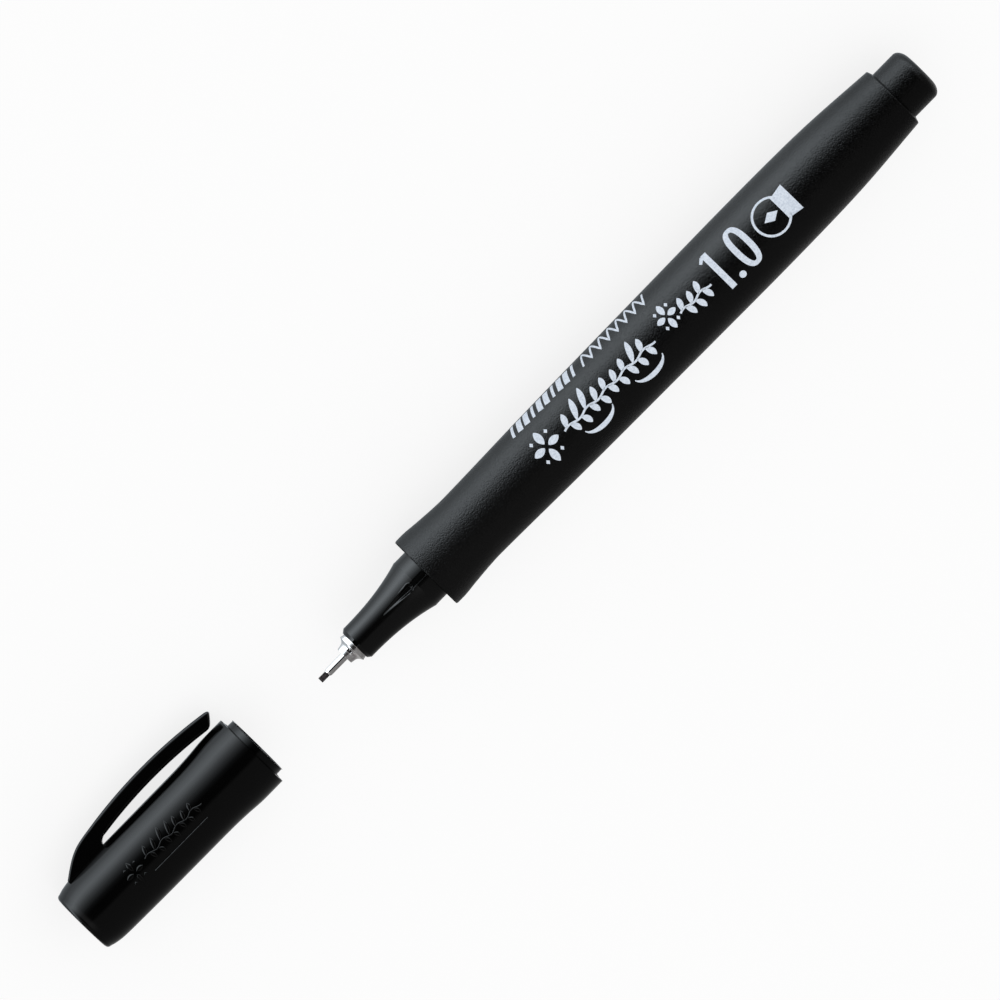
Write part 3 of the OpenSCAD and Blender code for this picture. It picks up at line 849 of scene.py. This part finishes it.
def add_clip(finish):
    """The clip and its root in one piece; the arm rises where the root ends."""

    def arch(place, radius):
        return ARCH_CENTRE + math.sqrt(radius**2 - (ARCH_TOP_AT - place) ** 2)

    ramp = smooth([
        (3, 5.95), (4.5, 7), (6, 7.92), (7.5, 8.56), (9, 8.91), (10.4, arch(10.4, ARCH_R))])
    foot = 5.3
    stations = []  # outer point, inner point, width, edge radius
    for place, height in ramp:
        stations.append(((place, height), (place, foot), CLIP_W, 0.4))
    turn_up = [(10.6, (10.5, foot)), (10.75, (10.58, 5.9)), (10.95, (10.65, 6.2)),
               (11.2, (10.8, 6.43)), (11.6, (11.1, 6.66)), (12.05, (11.55, 6.88)),
               (12.5, (12.1, arch(12.1, ARCH_R - CLIP_T)))]
    for place, inner in turn_up:
        stations.append(((place, arch(place, ARCH_R)), inner, CLIP_W, 0.45))
    start, end, steps = 13, 33.4, 44
    for k in range(steps + 1):
        place = start + (end - start) * k / steps
        lean = 1.25 * ease(place, 30, 33.4)
        stations.append((
            (place + lean, arch(place + lean, ARCH_R)), (place, arch(place, ARCH_R - CLIP_T)),
            CLIP_W, 0.5))
    stations += [
        ((35.05, arch(35.05, ARCH_R)), (33.85, 6.84), CLIP_W, 0.5),
        ((35.32, 8.98), (34.12, 6.92), CLIP_W, 0.48),
        ((35.54, 8.87), (34.38, 7.05), CLIP_W - 0.06, 0.45),
        ((35.66, 8.74), (34.62, 7.26), CLIP_W - 0.2, 0.4),
        ((35.68, 8.5), (34.86, 7.5), CLIP_W - 0.5, 0.32),
    ]
    rings = with_ends([clip_ring(*station) for station in stations])
    clip = piece("marker_clip", [skin(rings)], finish, None, ["pocket_clip"], 50)
    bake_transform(clip)


# ---- Raised strokes of the print and of the cap's ornament ---------------------------


class Wrap:
    """A drawing plane rolled round the pen. The first measure runs along the pen, and the
    second one round it, up towards the clip from the middle of the printed side."""

    ROOT = -0.03  # height of a stroke's sides where they start, under the surface

    def __init__(self, x_of, line, lift, crown):
        self.x_of, self.line, self.lift, self.crown = x_of, line, lift, crown

    def point(self, along, up, height):
        r = height_on(self.line, along)
        return at(self.x_of(along), math.degrees(up / r), r + height)

    def stroke(self, path, widths, looped=False, columns=6):
        """Closed ribbon along a path, of a width at each of its points."""
        rings = []
        last = len(path) - 1
        for i, ((x, y), width) in enumerate(zip(path, widths)):
            before = path[i - 1] if looped or i else path[0]
            after = path[(i + 1) % len(path)] if looped or i < last else path[last]
            way = Vector((after[0] - before[0], after[1] - before[1])).normalized()
            side = Vector((-way.y, way.x)) * width / 2
            ring = [self.point(x - side.x, y - side.y, self.ROOT)]
            for k in range(columns + 1):
                v = 2 * k / columns - 1
                height = self.lift * (1 - self.crown + self.crown * math.sqrt(max(0, 1 - v * v)))
                ring.append(self.point(x + side.x * v, y + side.y * v, height))
            ring.append(self.point(x + side.x, y + side.y, self.ROOT))
            rings.append(ring)
        return skin(rings if looped else with_ends(rings), looped)

    def lozenge(self, x, y, half_x, half_y):
        """Diamond that stands on a corner."""
        steps = 6
        path = [(x + half_x * (2 * k / steps - 1), y) for k in range(steps + 1)]
        widths = [2 * half_y * max(0.02, 1 - abs(2 * k / steps - 1)) for k in range(steps + 1)]
        return self.stroke(path, widths)


def arc(x, y, rx, ry, start, end, steps=28):
    """Points of an elliptic arc between two angles in degrees."""
    out = []
    for k in range(steps + 1):
        angle = math.radians(start + (end - start) * k / steps)
        out.append((x + rx * math.cos(angle), y + ry * math.sin(angle)))
    return out


def straight(x0, y0, x1, y1, steps=8):
    """Points of a straight line."""
    return [(x0 + (x1 - x0) * k / steps, y0 + (y1 - y0) * k / steps) for k in range(steps + 1)]


def leaf(wrap, x, y, reach, lean, broad):
    """Pointed leaf that stands on the stem and leans forward. A negative reach is down."""
    steps, path, widths = 16, [], []
    for k in range(steps + 1):
        t = k / steps
        bend = 0.18 * broad * math.sin(math.pi * t)
        path.append((x + lean * t + bend, y + reach * t))
        widths.append(max(0.06, broad * math.sin(math.pi * t) ** 0.7))
    return wrap.stroke(path, widths)


def garland(wrap, start, pitch, reaches, broad, fine):
    """Leafy branch: a waving stem with a leaf above and one below it at each step, of the
    reaches given."""
    length = pitch * (len(reaches) + 0.6)
    steps = 12 * len(reaches)

    def stem(x):
        return 0.22 * math.sin(math.pi * x / pitch)

    places = [length * k / steps for k in range(steps + 1)]
    path = [(start + x, stem(x)) for x in places]
    shapes = [wrap.stroke(path, [fine] * len(path))]
    for i, (above, below) in enumerate(reaches):
        x = pitch * (i + 0.25)
        shapes.append(leaf(wrap, start + x, stem(x), above, 0.42 * above, broad))
        x += pitch * 0.42
        shapes.append(leaf(wrap, start + x, stem(x), -below, 0.36 * below, broad))
    return shapes


def sprig(wrap, x, y, size, broad, fine):
    """Four-leaved flower with a lozenge between each pair of leaves."""
    shapes, steps, start = [], 12, 0.16
    for sx, sy in ((1, 0), (-1, 0), (0, 1), (0, -1)):
        path, widths = [], []
        for k in range(steps + 1):
            t = k / steps
            out = start + (1 - start) * t
            path.append((x + sx * out * size * 0.82, y + sy * out * size))
            widths.append(max(0.06, broad * math.sin(math.pi * t) ** 0.7))
        shapes.append(wrap.stroke(path, widths))
    for sx, sy in ((1, 1), (-1, 1), (1, -1), (-1, -1)):
        at_x, at_y = x + sx * 0.5 * size, y + sy * 0.6 * size
        shapes.append(wrap.lozenge(at_x, at_y, 0.9 * fine, 1.1 * fine))
    return shapes


def add_print(finish):
    """Plain ornaments and the nib's nominal width, printed on the barrel."""
    wrap = Wrap(lambda along: BARREL_FRONT - along, BARREL_LINE, 0.02, 0.0)

    def printed(name, shapes):
        piece(name, shapes, finish, "pen", sharp=60)

    # Leafy branch in two lengths, with two crescents under the longer one
    shapes = sprig(wrap, 26.1, 0.35, 3.0, 1.2, 0.36)
    reaches = [(2.1, 1.8), (3.3, 1.8), (3.3, 1.8), (2.2, 1.8), (1.9, 1.8), (1.9, 1.8), (1.9, 2.0),
               (3.3, 1.8), (2.0, 1.9)]
    shapes += garland(wrap, 29.6, 1.98, reaches, 0.98, 0.32)
    for x in (34.6, 45.2):
        crescent = arc(x, -1.9, 2.9, 1.75, 190, 350, 30)
        shapes.append(wrap.stroke(crescent, [
            0.16 + 0.72 * math.sin(math.pi * k / 30) ** 1.5 for k in range(31)]))
    shapes += sprig(wrap, 52.4, 1.2, 2.3, 1.0, 0.34)
    shapes += garland(wrap, 54.2, 1.75, [(1.9, 1.9), (1.9, 1.9), (1.9, 1.9)], 0.95, 0.32)
    printed("print_flourish", shapes)

    # Border nearer to the clip: bold slanted bars, then a thin zigzag
    low, high = 5.35, 8.6
    shapes = []
    for k in range(10):
        x = 24.1 + 1.42 * k
        width = 0.98 if k % 3 else 0.5
        shapes.append(wrap.stroke(straight(x - 0.4, low, x + 0.4, high), [width] * 9))
    zigzag = []
    for k in range(15):
        x = 38.5 + 0.92 * k
        zigzag += straight(x, (low, high)[k % 2], x + 0.92, (high, low)[k % 2], 6)[:-1]
    shapes.append(wrap.stroke(zigzag, [0.34] * len(zigzag)))
    printed("print_border", shapes)

    # Number of the nib's width: a bar with a flag, a dot and an oval
    shapes = [
        wrap.stroke(straight(62.73, -3.1, 62.73, 4.05, 14), [1.0] * 15),
        wrap.stroke(straight(62.28, 3.75, 61.48, 3.05, 4), [0.62, 0.6, 0.56, 0.52, 0.5]),
        wrap.stroke(arc(64.9, -2.6, 0.29, 0.29, 0, 360 - 15, 23), [0.56] * 24, looped=True),
    ]
    oval, widths = [], []
    for k in range(64):
        angle = 2 * math.pi * k / 64
        cos, sin = math.cos(angle), math.sin(angle)
        oval.append((67.75 + 1.21 * math.copysign(abs(cos) ** 0.8, cos),
                     0.47 + 3.3 * math.copysign(abs(sin) ** 0.8, sin)))
        widths.append(0.74 + 0.24 * abs(cos))
    shapes.append(wrap.stroke(oval, widths, looped=True))
    printed("print_width_number", shapes)

    # Open ring with a lozenge, and a wedge that closes it
    ring = arc(73.95, 0.47, 2.9, 2.95, 33, 327, 60)
    shapes = [wrap.stroke(ring, [0.38] * len(ring)), wrap.lozenge(73.9, 0.47, 1.35, 0.85)]
    wedge = straight(75.69, 0.47, 78.28, 0.47, 6)
    shapes.append(wrap.stroke(wedge, [4.1 + 0.95 * k / 6 for k in range(7)], columns=16))
    printed("print_sign", shapes)


def add_emboss(finish):
    """A sprig, a leafy branch and a rule raised on the cap, in the cap's own plastic."""
    wrap = Wrap(lambda along: CAP_END - along, CAP_LINE, 0.26, 0.8)
    shapes = sprig(wrap, 11.1, -0.35, 2.0, 0.85, 0.3)
    reaches = [(1.6, 1.3), (1.9, 1.3), (2.3, 1.3), (2.3, 1.3), (1.6, 1.3), (1.5, 1.3), (1.3, 1.2)]
    shapes += garland(wrap, 13.6, 1.55, reaches, 0.78, 0.3)
    rule = straight(13.4, -2.35, 24.6, -2.35, 40)
    shapes.append(wrap.stroke(rule, [0.34] * len(rule)))
    piece("cap_flourish", shapes, finish, "cap", sharp=60)


# ---- The object --------------------------------------------------------------------

add_camera()
add_world()
add_floor()

soft, gloss, satin = soft_touch(), gloss_black(), satin_black()
add_barrel(soft)
add_tail_plug(soft)
add_section(satin)
add_ferrule(bright_metal())
add_nib_tube(drawn_metal())
add_nib(nib_fibre())
add_cap_shell(gloss)
add_cap_sleeve(gloss)
add_clip(gloss)
add_print(pale_print())
add_emboss(gloss)

hidden = {
    "ink_reservoir": fibre("core_fibre", (0.02, 0.019, 0.02), (0.09, 0.085, 0.08)),
    "feed_rod": fibre("feed_fibre", (0.012, 0.012, 0.012), (0.06, 0.055, 0.05)),
    "reservoir_film": clear_film(),
}
for node, material in hidden.items():
    for slot in frame["nodes"][node].material_slots:
        slot.material = material
